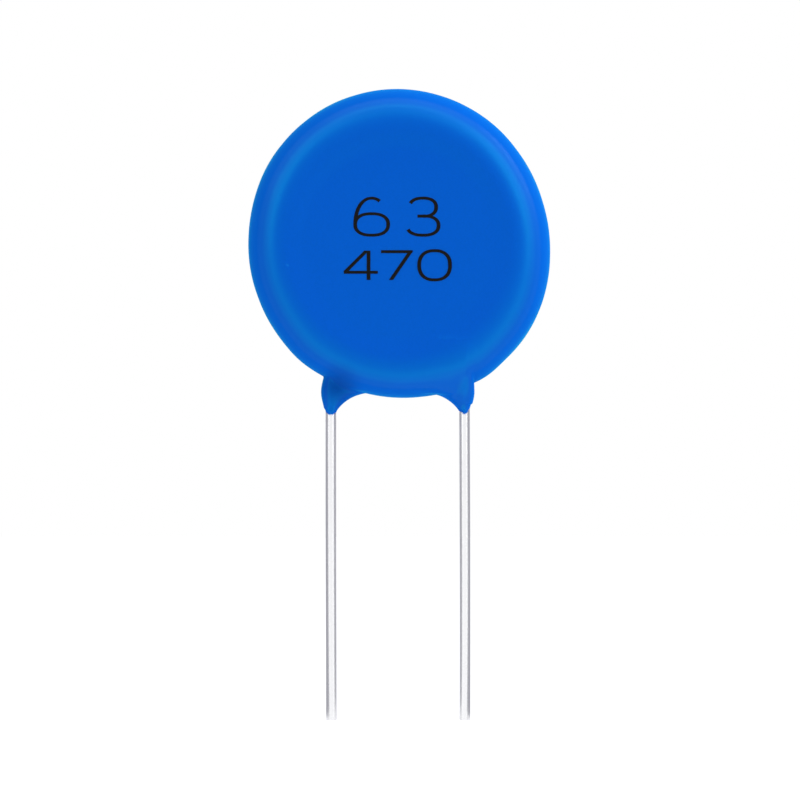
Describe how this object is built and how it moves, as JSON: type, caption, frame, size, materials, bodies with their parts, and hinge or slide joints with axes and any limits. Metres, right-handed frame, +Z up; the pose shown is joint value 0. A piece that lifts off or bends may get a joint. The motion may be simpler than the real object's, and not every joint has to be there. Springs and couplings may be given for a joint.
{
  "type": "ceramic disc capacitor",
  "caption": "Round dip-coated ceramic disc capacitor with silvered faces, soldered wires and two straight leads on a standard pitch.",
  "frame": {"origin": "midway between the two lead axes, on the seating plane at the tips of the coat's legs", "axes": "+Z up from the board through the disc, +X from the rear lead to the front lead, -Y towards the front face"},
  "size_m": [0.0172, 0.0042, 0.0353],
  "materials": {
    "epoxy": "smooth dipped epoxy, glossy",
    "dielectric": "fired, matte",
    "fired_silver": "fired silver, matte",
    "solder": "bright solder",
    "tinned_wire": "tinned, bright drawn wire"
  },
  "bodies": {
    "root": {"epoxy_coating": "epoxy", "ceramic_disc": "dielectric", "front_electrode": "fired_silver", "rear_electrode": "fired_silver", "front_solder": "solder", "rear_solder": "solder", "front_lead": "tinned_wire", "rear_lead": "tinned_wire"}
  },
  "joints": []
}
